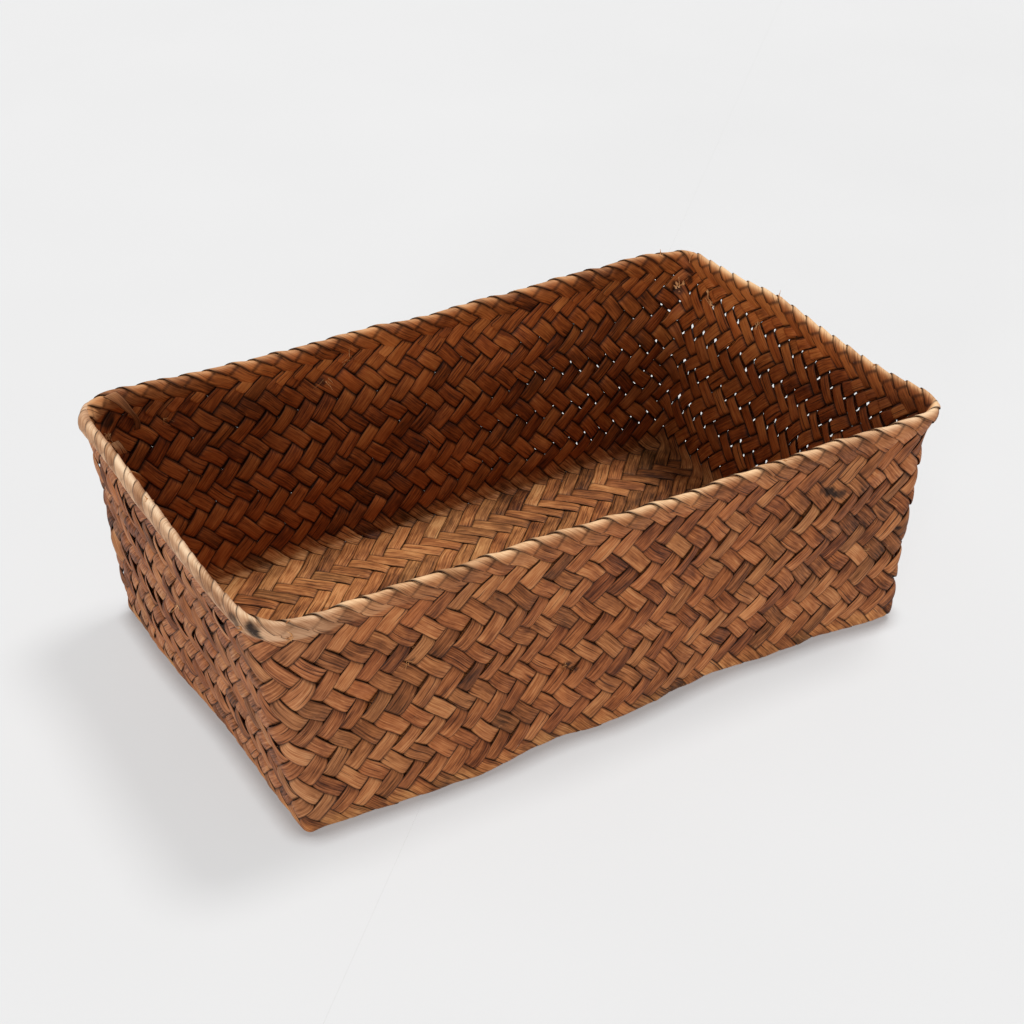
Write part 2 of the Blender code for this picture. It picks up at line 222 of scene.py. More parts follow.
def settled(place):
    """The slack of a hand-made basket: an uneven plait, bowed walls and a wavy rim."""
    x, y, z = place[..., 0], place[..., 1], place[..., 2]
    up = z / CORE_Z
    shift = sum(swirl(seed, place, wavelength, size) for seed, wavelength, size in PLAIT_WAVES)
    shift[..., 2] *= smooth(up / 0.12)
    moved = place + shift
    belly = up * (1 - up) * 4
    moved[..., 1] += BELLY * belly * wander(11, x, 0.16) * np.sign(y) * smooth((np.abs(y) - 0.05) / 0.02)
    moved[..., 0] += BELLY * belly * wander(12, y, 0.12) * np.sign(x) * smooth((np.abs(x) - 0.09) / 0.02)

    low, waist = 1 - smooth(z / 0.075), smooth((z - 0.006) / 0.02) * (1 - smooth((z - 0.082) / 0.012))
    front, left, right = smooth((-y - 0.045) / 0.035), smooth((-x - 0.10) / 0.03), smooth((x - 0.10) / 0.03)
    for size, middle, width in FRONT_BULGES:
        moved[..., 1] -= size * front * low * np.exp(-(((x - middle) / width) ** 2))
    moved[..., 1] -= FRONT_RIGHT_FOOT * front * low * smooth((x - 0.090) / 0.035)
    moved[..., 0] -= LEFT_FOOT * left * low * smooth((y + 0.03) / 0.08)
    moved[..., 0] += RIGHT_FOOT * right * low * smooth((-y - 0.01) / 0.05)
    moved[..., 0] += BACK_LEFT_LEAN * left * up * smooth(y / 0.05)
    moved[..., 0] -= FRONT_RIGHT_WAIST * right * waist * smooth((-y - 0.02) / 0.05)

    rim = smooth((up - 0.3) / 0.7)
    ring = np.arctan2(y / HALF_RIM[1], x / HALF_RIM[0])
    moved[..., 0] += RIM_WAVES[0] * rim * wander(15, ring, 0.8)
    moved[..., 1] += RIM_WAVES[1] * rim * wander(16, ring, 0.8)
    moved[..., 2] += RIM_WAVES[2] * rim * (wander(13, ring, 1.1) + 0.5 * wander(14, ring, 0.35))
    moved[..., 2] += FRONT_RIM_RISE * smooth((z - 0.080) / 0.012) * front
    for size, rise_x, rise_y, width in RIM_RISES:
        moved[..., 2] += size * rim * np.exp(-((x - rise_x) ** 2 + (y - rise_y) ** 2) / width**2)
    moved[..., 2] = np.maximum(moved[..., 2], LOWEST)
    return moved


# ---- The strips -----------------------------------------------------------------------------------------


class Exit:
    """Where a strip leaves the floor: at r = along_0 + along_s * s and a = ring_0 + ring_s * s. From there
    it climbs, and moves turn columns round the ring for each column of height."""

    def __init__(self, direction, along_0, along_s, ring_0, ring_s, turn):
        self.direction, self.turn = direction, turn
        self.along_0, self.along_s = along_0, along_s
        self.ring_0, self.ring_s = ring_0, ring_s

    def edge(self, s):
        return self.along_0 + self.along_s * s

    def height(self, r, s):
        return self.direction * (r - self.edge(s)) / 2

    def column(self, s, height):
        return self.ring_0 + self.ring_s * s + self.turn * height


def exits_of(falling, s):
    """Both exits of a strip. A falling strip has x + y fixed, and a rising one x - y."""
    if falling:
        low = Exit(-1, 0, -1, RING, -1, -1) if s < SHORT else Exit(-1, -2 * SHORT, 1, RING, -1, 1)
        high = Exit(1, 0, 1, 0, 1, 1) if s < LONG else Exit(1, 2 * LONG, -1, 0, 1, -1)
    else:
        low = Exit(-1, 0, 1, 0, 1, -1) if s > 0 else Exit(-1, 0, -1, RING, 1, 1)
        across_back = Exit(1, 2 * SHORT, 1, 2 * LONG, -1, -1)
        high = across_back if s < LONG - SHORT else Exit(1, 2 * LONG, -1, 2 * LONG, -1, 1)
    return low, high


def side_of(falling, s, r, exits):
    """1 where the strip is the outer ply at the crossing centred on r, and -1 where it is the inner one."""
    for leaving in exits:
        height = leaving.height(r, s)
        if height > -1e-6:
            right_leaning_inner = round(2 * height) % WALL_REPEAT < WALL_FLOAT
            return -1 if right_leaning_inner == (leaving.turn > 0) else 1
    rows = round(s - r) if falling else round(r - s)
    return -1 if (rows % FLOOR_REPEAT < FLOOR_FLOAT) == falling else 1


def weave(falling, s, r, exits, rng):
    """The ply along the strip, -1 inner to 1 outer with a smooth slope at each change, and the bulge, tilt,
    shade and fullness of each float, which differ from one to the next."""
    first, last = int(math.floor(r.min())) - 1, int(math.ceil(r.max())) + 1
    sides = [side_of(falling, s, cell + 0.5, exits) for cell in range(first, last)]
    ply = np.full_like(r, float(sides[0]))
    arch, tilt, shade, full = np.zeros_like(r), np.zeros_like(r), np.zeros_like(r), np.zeros_like(r)
    changes = [index for index in range(1, len(sides)) if sides[index] != sides[index - 1]]
    for index in changes:
        ply += (sides[index] - sides[index - 1]) * smooth((r - first - index + RAMP) / (2 * RAMP))
    for begin, end in zip(changes, changes[1:]):
        centre, half = first + (begin + end) / 2, (end - begin) / 2
        hump = np.clip(1 - np.abs((r - centre) / half) ** 3, 0, None)
        arch += sides[begin] * hump * rng.uniform(0.4, 1.6)
        tilt += np.sqrt(hump) * rng.normal() * 0.00016
        shade += (np.abs(r - centre) < half) * np.clip(rng.normal(), -1.6, 1.6)
        full += hump
    return ply, arch, tilt, shade, full


def slackness(place):
    """1 where the plait is slack: the right wall and the right of the back wall."""
    x, y, z = place[..., 0], place[..., 1], place[..., 2]
    right = smooth((x - 0.118) / 0.012)
    back = smooth((x - 0.030) / 0.06) * smooth((y - 0.068) / 0.01) * (1 - smooth((z - 0.052) / 0.02))
    between_base_and_rim = smooth((z - 0.006) / 0.01) * (1 - smooth((z - 0.084) / 0.006))
    return np.maximum(right, BACK_SLACK * back) * between_base_and_rim


def looseness(place):
    """How far the floats bulge: least on the front, most at the left end."""
    x, y, z = place[..., 0], place[..., 1], place[..., 2]
    ends = np.maximum(smooth((-x - 0.112) / 0.016), LOOSE_RIGHT * smooth((x - 0.112) / 0.016))
    sides = np.maximum(LOOSE_BACK * smooth((y - 0.062) / 0.012), LOOSE_FRONT * smooth((-y - 0.062) / 0.012))
    return np.maximum(ends, sides) * smooth((z - 0.006) / 0.012) * (1 - smooth((z - 0.076) / 0.01))


def strip_surface(falling, number, seed):
    """The middle surface of a strip as a grid of places, with what its finish needs at each point."""
    rng = np.random.default_rng(seed)
    middle = number + 0.5 - (0 if falling else SHORT)
    exits = exits_of(falling, middle)
    reach = 2 * (CORE_AT + WRAP + TUCK)
    start, end = exits[0].edge(middle) - reach, exits[1].edge(middle) + reach
    rows = int((end - start) * ROWS_PER_UNIT) + 1
    r = np.linspace(start, end, rows)[:, None] * np.ones((1, ACROSS + 1))
    across = np.linspace(-1, 1, ACROSS + 1)[None, :] * np.ones((rows, 1))

    centre = laid(falling, middle, r, np.full_like(r, middle), exits, np.zeros_like(r), across)[0]
    slack = PINHOLE_GAP * (1 + 1.1 * wander(seed + 4, r, 2.1))
    gap = STRIP_GAP + (slack - STRIP_GAP) * slackness(centre)
    past = np.maximum(*(leaving.height(r, middle) for leaving in exits)) - CORE_AT
    over_rim = smooth((past + 0.9) / 0.5)
    gap = gap * (1 - over_rim) - RIM_OVERLAP * over_rim
    loose = looseness(centre)
    ply, arch, tilt, shade, full = weave(falling, middle, r, exits, rng)
    width = (1 - gap - 0.010 * (1 - over_rim) * (1 + wander(seed + 1, r, 9.0))) / 2
    width += 0.006 * wander(seed + 2, r, 1.3) + LENS / 2 * (full - 0.7) * (0.4 + 0.6 * loose) * (1 - over_rim)
    s = middle + across * width + 0.022 * wander(seed + 3, r, 7.0)

    fold = np.minimum(*(np.abs(leaving.height(r, middle)) for leaving in exits))
    calm = smooth(fold / 0.5)  # the fabric is tight where it folds up at the base
    offset = PLY_LIFT * ply * (0.7 + 0.3 * calm) * (1 + LOOSE_PLY * loose)
    offset += FLOAT_ARCH * arch * calm * (1 + LOOSE_ARCH * loose)
    offset += (tilt * across * calm - CROWN * across**2 * ply) * (1 + LOOSE_TILT * loose)
    place, over = laid(falling, middle, r, s, exits, offset, across)
    high = np.maximum(*(leaving.height(r, s) for leaving in exits))
    wall = smooth((high - 0.3) / 0.6)
    # Painted light on the rising strips of the right wall
    if not falling:
        shade = shade + RIGHT_WALL_SHEEN * smooth((place[..., 0] - 0.118) / 0.012)
    # Painted shade towards the floor's right end
    shade = shade - FLOOR_END_SHADE * smooth((place[..., 0] - 0.005) / 0.08) * (1 - wall)
    layout = {"r": r, "s": s - middle, "ply": ply, "wall": wall, "shade": shade}
    return finished(place, over, layout)


# Dark knots, and holes rubbed through whose dark inside is painted shade: ring column, height in columns,
# 1 outside or -1 inside, and radius
SPOTS = (
    (94.75, 10.55, 1, 0.0031), (95.65, 10.50, 1, 0.0035), (24.35, 8.50, 1, 0.0020), (24.7, 8.42, 1, 0.0027),
    (25.05, 8.25, 1, 0.0021), (25.35, 8.15, 1, 0.0025), (12.3, 3.8, 1, 0.0016), (12.6, 3.6, 1, 0.0012),
    (87.25, 5.8, 1, 0.0024), (29.2, 5.1, 1, 0.0014), (5.4, 6.9, 1, 0.0011), (48.3, 8.8, -1, 0.0034),
    (47.7, 9.8, -1, 0.0024), (47.6, 9.2, -1, 0.0022), (77.3, 9.5, -1, 0.0042), (67.1, 8.6, -1, 0.0018),
)


def spotted(place):
    """How dark the knots, and the painted shade in holes rubbed through, make each place."""
    dark = np.zeros(place.shape[:-1])
    ragged = swirl(33, place, 0.004, 0.0007)  # a spot's outline is uneven
    for a, b, side, radius in SPOTS:
        centre, normal = ring_sheet(np.array([a]), np.array([b]))
        centre = centre + side * normal * (FOLD_WIDTH if b > SWELL_FROM else PLY_LIFT)
        away = np.linalg.norm(place + ragged - settled(centre)[0], axis=-1) / radius
        dark = np.maximum(dark, 1 - smooth((away - 0.6) / 0.6))
    return dark


def finished(place, over, layout):
    """The settled places of a ribbon, and its layout with its finish. Strips are paler near the rim: a little
    on the fold's faces and a lot on its ridge, which is bleached and has a painted highlight. The left end
    and the front left corner are paler still, from wear and a painted highlight, and the ends get a painted
    sheen."""
    x, y = place[..., 0], place[..., 1]
    # Paler at the left end and the front left corner: wear, and a painted highlight
    wear_and_highlight = np.exp(-(((x + 0.15) / 0.045) ** 2)) * (1 - smooth((y - 0.075) / 0.02))
    petal = smooth((over + PETAL_REACH) / 0.25)
    # Bleaching and a painted highlight on the ridge, less of it on the back
    ridge = np.exp(-((over / RIDGE_REACH) ** 2)) * (1 - 0.4 * smooth((y - 0.06) / 0.02))
    where = settled(place)
    return where, layout | {
        "petal": petal * (0.33 + 0.45 * wear_and_highlight),
        "ridge": np.maximum(ridge, 0.5 * petal * wear_and_highlight),
        "spot": spotted(where),
        # Painted sheen: at the left end, and less of it towards the right end
        "painted_sheen": np.maximum(smooth((-x - 0.11) / 0.02), 0.45 * smooth((x - 0.05) / 0.07)),
    }


def cut_end(falling, number, leaving, rng):
    """The cut end of a strip, turned back over the uppermost inside float of a left-leaning strip."""
    middle = number + 0.5 - (0 if falling else SHORT)
    low, high = CUT_END_LOW + rng.uniform(-0.12, 0.2), CORE_AT - 0.25
    edge = leaving.edge(middle)
    ends = sorted((edge + leaving.direction * 2 * low, edge + leaving.direction * 2 * high))
    r = np.linspace(*ends, 13)[:, None] * np.ones((1, ACROSS + 1))
    across = np.linspace(-1, 1, ACROSS + 1)[None, :] * np.ones_like(r)
    height = leaving.height(r, middle)
    corner = np.sqrt(np.clip(1 - ((low + 0.07 - height) / 0.07).clip(0, 1) ** 2, 0.0, 1))
    width = rng.uniform(0.36, 0.46) * (0.75 + 0.25 * corner)
    s = middle + across * width + rng.uniform(-0.04, 0.04)
    front = PLY_LIFT + FLOAT_ARCH + STRIP_THICKNESS + rng.uniform(0.0, 0.0002)
    offset = -front * (1 - smooth((height - 9.65) / 0.3)) + 0.0001 * across * rng.normal()
    place, over = laid(falling, middle, r, s, exits_of(falling, middle), offset, across)
    ones = np.ones_like(r)
    layout = {"r": r, "s": s - middle, "ply": -ones, "wall": ones, "shade": ones * rng.uniform(1.2, 3.6)}
    return finished(place, over, layout)


def fold_angles():
    """The angle round the folded rim's half ellipse at even steps of the way round it."""
    angle = np.linspace(0, math.pi, 91)
    outline = np.stack([FOLD_WIDTH * np.cos(angle), FOLD_HEIGHT * np.sin(angle)], -1)
    way = np.concatenate([[0], np.cumsum(np.linalg.norm(np.diff(outline, axis=0), axis=1))])
    return np.interp(np.linspace(0, way[-1], 91), way, angle)


FOLD_ANGLES = fold_angles()


def laid(falling, middle, r, s, exits, offset, across):
    """The places of layout points, this far off the sheet: on the floor, up the walls and round the hoop. And
    how far past the rim's ridge they are, in columns."""
    place, over = np.zeros(r.shape + (3,)), np.full_like(r, -CORE_AT)
    low, high = (leaving.height(r, s) for leaving in exits)
    x, y = (s + r) / 2, np.where(falling, s - r, r - s) / 2
    found, normal = floor_sheet(np.clip(x, 0, LONG), np.clip(y, 0, SHORT))
    on_floor = (low < 0) & (high < 0)
    place[on_floor] = (found + normal * offset[..., None])[on_floor]
    for leaving, height in zip(exits, (low, high)):
        here = height >= 0
        wrapped, past_ridge = climbed(leaving, s, height, offset, across)
        place[here] = wrapped[here]
        over[here] = past_ridge[here]
    return place, over


def climbed(leaving, s, height, offset, across):
    """The places of a strip on the wall and over the hoop. A right-leaning strip climbs inside and goes over
    to the outside, where it lies under a left-leaning one, and a left-leaning strip the other way round."""
    near = -leaving.turn
    past = height - CORE_AT
    beyond = np.maximum(past - WRAP, 0)
    column = leaving.column(s, np.maximum(height, 0))
    sheet, normal = ring_sheet(column, np.where(past > 0, CORE_AT - beyond, np.clip(height, 0, CORE_AT)))
    upward = np.array([0.0, 0.0, 1.0]) - normal * normal[..., 2:3]
    upward /= np.linalg.norm(upward, axis=-1, keepdims=True)
    share = np.clip(past / WRAP, 0, 1)
    far_wall = np.clip(FAR_HALF - np.abs(column % RING - FAR_MIDDLE), -1, 1)  # -1 on the near walls
    drop = 0.48 + 0.34 * leaving.turn * far_wall  # share of the way round where the strip goes under
    lean = RIM_LIFT * across * leaving.ring_s * leaving.turn * smooth((past + 0.9) / 0.5)
    lean *= 1 - smooth((share - drop + 0.15) / 0.2)
    inset = lean - PLY_STEP * smooth((share - drop) / 0.18)
    radius = FOLD_WIDTH + inset
    swell = smooth((height - SWELL_FROM) / (CORE_AT - SWELL_FROM + 0.1))
    side = np.clip(offset / PLY_LIFT, -1, 1)
    rising = offset * (1 - swell) + (side + (near - side) * smooth((past + 0.1) / 0.1)) * radius * swell
    angle = np.interp(share, np.linspace(0, 1, len(FOLD_ANGLES)), FOLD_ANGLES)
    away = np.where(past <= 0, rising, near * radius * np.cos(angle))
    above = np.where(past > 0, (FOLD_HEIGHT + inset) * np.sin(angle), 0.0)
    place = sheet + normal * away[..., None] + upward * above[..., None]
    return place, past - WRAP / 2


FINISH = ("ply", "petal", "ridge", "spot", "painted_sheen")  # what the layout holds for the material


def ribbon(grid, layout, outward, seed):
    """A closed ribbon round the middle surface, thinner at its edges: its points, faces, map and finish."""
    r, s, wall = layout["r"], layout["s"], layout["wall"]
    rows, columns = grid.shape[:2]
    along = np.gradient(grid, axis=0)
    over = np.gradient(grid, axis=1)
    normal = np.cross(along, over)
    normal /= np.maximum(np.linalg.norm(normal, axis=-1, keepdims=True), 1e-12)
    across = np.linspace(-1, 1, columns)[None, :, None]
    half = STRIP_THICKNESS / 2 * (1 - 0.6 * across**6)
    top, bottom = grid + normal * half, grid - normal * half
    vertices = np.concatenate([top.reshape(-1, 3), bottom.reshape(-1, 3)])
    index = np.arange(rows * columns).reshape(rows, columns)
    under = index + rows * columns
    quads = [
        np.stack([index[:-1, :-1], index[1:, :-1], index[1:, 1:], index[:-1, 1:]], -1).reshape(-1, 4),
        np.stack([under[:-1, :-1], under[:-1, 1:], under[1:, 1:], under[1:, :-1]], -1).reshape(-1, 4),
        np.stack([index[:-1, 0], under[:-1, 0], under[1:, 0], index[1:, 0]], -1),
        np.stack([index[:-1, -1], index[1:, -1], under[1:, -1], under[:-1, -1]], -1),
        np.stack([index[0, :-1], index[0, 1:], under[0, 1:], under[0, :-1]], -1),
        np.stack([index[-1, :-1], under[-1, :-1], under[-1, 1:], index[-1, 1:]], -1),
    ]
    flat = np.stack([r * STRIP_UNIT * 1000, s * STRIP_UNIT * 1000 + seed * 10.0], -1).reshape(-1, 2)
    rng = np.random.default_rng(seed)
    tone = rng.uniform(-1, 1) * 0.55 + 0.45 * wander(seed + 7, r, 16.0) + 0.36 * layout["shade"]
    hue = rng.uniform(-1, 1) + 0.3 * wander(seed + 8, r, 20.0)
    edge = np.abs(np.linspace(-1, 1, columns))[None, :] * np.ones((rows, 1))
    inside = np.concatenate([-wall.ravel(), wall.ravel()][::-outward])
    values = {"tone": tone, "hue": hue, "edge": edge} | {key: layout[key] for key in FINISH}
    values = {key: np.tile(value.ravel(), 2) for key, value in values.items()} | {"inside": inside}
    return vertices, np.concatenate(quads), np.tile(flat, (2, 1)), values


def ribbon_mesh(name, ribbons):
    """One mesh of these ribbons, with their layout as a UV map and their finish as attributes."""
    starts = np.cumsum([0] + [len(each[0]) for each in ribbons])
    vertices = np.concatenate([each[0] for each in ribbons])
    faces = np.concatenate([each[1] + start for each, start in zip(ribbons, starts)])
    flat = np.concatenate([each[2] for each in ribbons])
    mesh = bpy.data.meshes.new(name)
    mesh.from_pydata(vertices.tolist(), [], faces.tolist())
    corners = np.zeros(len(mesh.loops), int)
    mesh.loops.foreach_get("vertex_index", corners)
    mesh.uv_layers.new(name="strip").data.foreach_set("uv", flat[corners].ravel())
    for key in ribbons[0][3]:
        value = np.concatenate([each[3][key] for each in ribbons])
        attribute = mesh.attributes.new(key, "FLOAT", "POINT")
        attribute.data.foreach_set("value", value.astype(np.float32))
    mesh.shade_smooth()
    return mesh


# ---- Materials ------------------------------------------------------------------------------------------


class Nodes:
    """Short ways to add and join the nodes of one material."""

    def __init__(self, name):
        self.material = bpy.data.materials.new(name)
        self.material.use_nodes = True
        self.tree = self.material.node_tree
        self.shader = self.tree.nodes["Principled BSDF"]

    def add(self, kind, inputs=(), **settings):
        node = self.tree.nodes.new(kind)
        for key, value in settings.items():
            setattr(node, key, value)
        for socket, value in dict(inputs).items():
            self.set(node.inputs[socket], value)
        return node

    def set(self, socket, value):
        if isinstance(value, bpy.types.NodeSocket):
            self.tree.links.new(value, socket)
        else:
            socket.default_value = value

    def attribute(self, name):
        return self.add("ShaderNodeAttribute", attribute_name=name).outputs["Fac"]

    def maths(self, operation, *values, clamp=False):
        node = self.add("ShaderNodeMath", operation=operation, use_clamp=clamp)
        for socket, value in zip(node.inputs, values):
            self.set(socket, value)
        return node.outputs["Value"]

    def between(self, value, low, high, to_low=0.0, to_high=1.0):
        inputs = {"Value": value, "From Min": low, "From Max": high, "To Min": to_low, "To Max": to_high}
        return self.add("ShaderNodeMapRange", inputs).outputs["Result"]

    def noise(self, vector, scale, detail=3.0, roughness=0.55):
        inputs = {"Vector": vector, "Scale": scale, "Detail": detail, "Roughness": roughness}
        return self.add("ShaderNodeTexNoise", inputs).outputs["Fac"]

    def mix(self, share, first, second, blend="MIX"):
        node = self.add("ShaderNodeMix", data_type="RGBA", blend_type=blend)
        self.set(node.inputs["Factor"], share)
        self.set(node.inputs[6], first)
        self.set(node.inputs[7], second)
        return node.outputs[2]

    def ramp(self, value, stops):
        node = self.add("ShaderNodeValToRGB", {"Fac": value})
        while len(node.color_ramp.elements) < len(stops):
            node.color_ramp.elements.new(1.0)
        for element, (position, colour) in zip(node.color_ramp.elements, stops):
            element.position = position
            element.color = (*colour, 1.0)
        return node.outputs["Color"]


DARK_LEAF = (0.050, 0.013, 0.003)
MID_LEAF = (0.275, 0.090, 0.024)
WARM_LEAF = (0.490, 0.188, 0.057)
PALE_LEAF = (0.720, 0.360, 0.135)
OLIVE_DARK = (0.110, 0.052, 0.013)
OLIVE_PALE = (0.540, 0.265, 0.096)
RUSSET_DARK = (0.090, 0.019, 0.004)
RUSSET_PALE = (0.550, 0.170, 0.046)
RIM_DARK = (0.300, 0.112, 0.036)
RIM_TAN = (0.580, 0.275, 0.105)
# Cream of the ridge, bleaching with a painted highlight, and the palest frayed fibre
RIM_PALE = (0.900, 0.620, 0.350)
# Painted shade in the gaps, under the rim and in holes, and the dark of knots
SHADE_AND_KNOT_DARK = (0.014, 0.005, 0.002)
SHADE_TINT = (0.66, 0.43, 0.26)  # painted shade: the tint of the inner faces of the walls
LIT_FACE_TINT = (0.80, 0.69, 0.68)  # painted light: the tint of their outer, lit faces
PAINTED_SHEEN_TINT = (0.96, 1.04, 1.20)  # painted sheen: the greyer, bluer tint of the ends
LEAF_LEVEL = 0.545  # how pale the leaf is on average, 0 to 1
FLOOR_PAINT = (0.229, 0.233)  # the floor's darkest and palest grey


def leaf_colour(m, level, hue):
    """The leaf by its level, 0 dark to 1 pale, and its hue: brown, or part olive or russet."""
    brown = m.ramp(level, [(0.10, DARK_LEAF), (0.42, MID_LEAF), (0.66, WARM_LEAF), (1.0, PALE_LEAF)])
    olive = m.ramp(level, [(0.15, OLIVE_DARK), (0.9, OLIVE_PALE)])
    russet = m.ramp(level, [(0.15, RUSSET_DARK), (0.9, RUSSET_PALE)])
    leaf = m.mix(m.between(hue, 0.1, 1.3, 0.0, 0.45), brown, olive)
    return m.mix(m.between(hue, -0.1, -1.3, 0.0, 0.55), leaf, russet)


def rim_colour(m, leaf, level, tone, petal, ridge):
    """The leaf turned tan on the fold's faces and cream on its ridge: bleaching with a painted highlight."""
    tan = m.ramp(level, [(0.15, RIM_DARK), (0.8, RIM_TAN)])
    cream = m.ramp(level, [(0.1, RIM_TAN), (0.7, RIM_PALE)])
    leaf = m.mix(m.maths("MULTIPLY", petal, m.between(tone, -1.0, 0.8, 0.6, 1.3)), leaf, tan)
    return m.mix(m.maths("MULTIPLY", ridge, m.between(tone, -1.0, 0.6, 0.5, 1.0)), leaf, cream)


def painted_shade_and_knots(m, blotch, edge, ply, inside, petal, ridge):
    """Painted shade where the leaf dips under another, at its edges, below the rim and between the strips on
    the ridge, and the dark of knots and of holes rubbed through it.
    """
    dip_from, dip_to = m.between(inside, 0.0, 1.0, 0.66, 0.85), m.between(inside, 0.0, 1.0, 0.0, 0.2)
    dip = m.between(m.maths("ABSOLUTE", ply), dip_from, dip_to)
    dip = m.maths("MULTIPLY", dip, m.maths("SUBTRACT", 1.0, petal, clamp=True))
    # Painted shadow below the rim's petals, on the inner faces
    below_rim = m.maths("MULTIPLY", m.between(inside, 0.0, 1.0), m.between(petal, 0.1, 0.33))
    below_rim = m.maths("MULTIPLY", below_rim, m.maths("SUBTRACT", 1.0, ridge, clamp=True))
    # Painted shade along the strip's edges
    darkest = m.between(edge, m.between(inside, 0.0, 1.0, 0.88, 0.85), 1.0, 0.0, 0.95)
    # Painted shade at the dips, below the rim and on the ridge's strip edges, and the dark of knots and holes
    for where, depth in (
        (dip, 0.92),
        (below_rim, m.between(edge, 0.60, 0.94, 0.0, 0.92)),
        (ridge, m.between(edge, 0.78, 0.96, 0.0, 0.85)),
        (m.attribute("spot"), m.between(blotch, 0.35, 0.55, 0.62, 0.97)),
    ):
        darkest = m.maths("MAXIMUM", darkest, m.maths("MULTIPLY", where, depth))
    return darkest


def seagrass():
    """Dried seagrass leaf: fibres along the strip, blotches, splits, pale scuffs of wear and painted
    highlight, painted shade at its edges and where it dips under, paler over the rim with a painted highlight
    on the ridge, and painted shade and light on the walls' faces.
    """
    m = Nodes("seagrass")
    uv = m.add("ShaderNodeUVMap", uv_map="strip").outputs["UV"]

    def along(per_mm, per_mm_across, detail=2.0, roughness=0.5):
        scale = (per_mm, per_mm_across, 1.0)
        vector = m.add("ShaderNodeVectorMath", {0: uv, 1: scale}, operation="MULTIPLY")
        return m.noise(vector.outputs[0], 1.0, detail, roughness)

    streak, fibre, hair = along(0.022, 0.42), along(0.06, 1.6, 3.0), along(0.13, 2.5, 2.0)
    blotch, cracks, scuffs = along(0.13, 0.20, 4.0), along(0.035, 1.15, 1.0), along(0.28, 0.34, 4.0, 0.65)
    tone, hue = m.attribute("tone"), m.attribute("hue")
    petal, ridge = m.attribute("petal"), m.attribute("ridge")
    edge, ply, inside = m.attribute("edge"), m.attribute("ply"), m.attribute("inside")

    level = LEAF_LEVEL
    for noise, share in ((fibre, 0.90), (streak, 0.42), (blotch, 0.80), (hair, 0.85)):
        level = m.maths("MULTIPLY_ADD", noise, share, m.maths("ADD", level, -share / 2))
    level = m.maths("MULTIPLY_ADD", tone, 0.21, level)
    leaf = rim_colour(m, leaf_colour(m, level, hue), level, tone, petal, ridge)
    # Pale scuffs, most near the edges: wear, and a painted highlight on the edges
    wear_and_highlight = m.maths("MULTIPLY", m.between(scuffs, 0.63, 0.74), m.between(edge, 0.2, 0.9, 0.25, 0.7))
    leaf = m.mix(wear_and_highlight, leaf, (*PALE_LEAF, 1))
    split = m.between(cracks, 0.66, 0.70)
    # Less on the ridge: its bleaching and painted highlight keep its splits pale and the face tints off it
    off_ridge = m.maths("SUBTRACT", 1.0, m.maths("MULTIPLY", ridge, 0.8), clamp=True)
    leaf = m.mix(m.maths("MULTIPLY", m.maths("MULTIPLY", split, 0.85), off_ridge), leaf, (*DARK_LEAF, 1))
    # Painted shade where strips dip and meet, under the rim and in holes, and the dark of knots
    leaf = m.mix(painted_shade_and_knots(m, blotch, edge, ply, inside, petal, ridge), leaf, (*SHADE_AND_KNOT_DARK, 1))
    # Painted shade tints the walls' inner faces and painted light their outer faces, less on the ridge
    indoors, outdoors = m.between(inside, 0.0, 1.0), m.between(inside, 0.0, -1.0)
    for tint, where, how_much in (
        (SHADE_TINT, indoors, off_ridge), (LIT_FACE_TINT, outdoors, off_ridge),
        # Painted sheen on the outer faces at the ends
        (PAINTED_SHEEN_TINT, outdoors, m.attribute("painted_sheen")),
    ):
        share = m.maths("MULTIPLY", where, how_much)
        leaf = m.mix(share, leaf, m.mix(1.0, leaf, (*tint, 1), "MULTIPLY"))
    m.set(m.shader.inputs["Base Color"], leaf)
    m.set(m.shader.inputs["Roughness"], m.between(fibre, 0.3, 0.7, 0.72, 0.54))
    m.shader.inputs["Specular IOR Level"].default_value = 0.2
    height = m.maths("MULTIPLY_ADD", fibre, 0.8, m.maths("MULTIPLY", hair, 0.35))
    height = m.maths("MULTIPLY_ADD", split, -0.7, height)
    bump = m.add("ShaderNodeBump", {"Height": height, "Strength": 0.7, "Distance": 0.0003})
    m.set(m.shader.inputs["Normal"], bump.outputs["Normal"])
    return m.material


def fibre():
    """Frayed leaf fibre, paler than the leaf and uneven along its length."""
    m = Nodes("fibre")
    place = m.add("ShaderNodeTexCoord").outputs["Object"]
    mottle, grain = m.noise(place, 350.0, 3.0), m.noise(place, 2500.0, 2.0)
    level = m.maths("MULTIPLY_ADD", grain, 0.4, m.maths("MULTIPLY_ADD", mottle, 1.6, -0.5))
    leaf = m.ramp(level, [(0.15, MID_LEAF), (0.6, RIM_TAN), (1.0, RIM_PALE)])
    m.set(m.shader.inputs["Base Color"], leaf)
    m.set(m.shader.inputs["Roughness"], m.between(grain, 0.3, 0.7, 0.8, 0.6))
    m.shader.inputs["Specular IOR Level"].default_value = 0.2
    bump = m.add("ShaderNodeBump", {"Height": grain, "Strength": 0.5, "Distance": 0.0001})
    m.set(m.shader.inputs["Normal"], bump.outputs["Normal"])
    return m.material


def cane():
    """The bare cane of the hoop, with fine grain round it."""
    m = Nodes("cane")
    place = m.add("ShaderNodeTexCoord").outputs["Object"]
    grain = m.noise(place, 900.0, 4.0)
    m.set(m.shader.inputs["Base Color"], m.ramp(grain, [(0.3, DARK_LEAF), (0.7, WARM_LEAF)]))
    m.set(m.shader.inputs["Roughness"], m.between(grain, 0.3, 0.7, 0.7, 0.5))
    return m.material


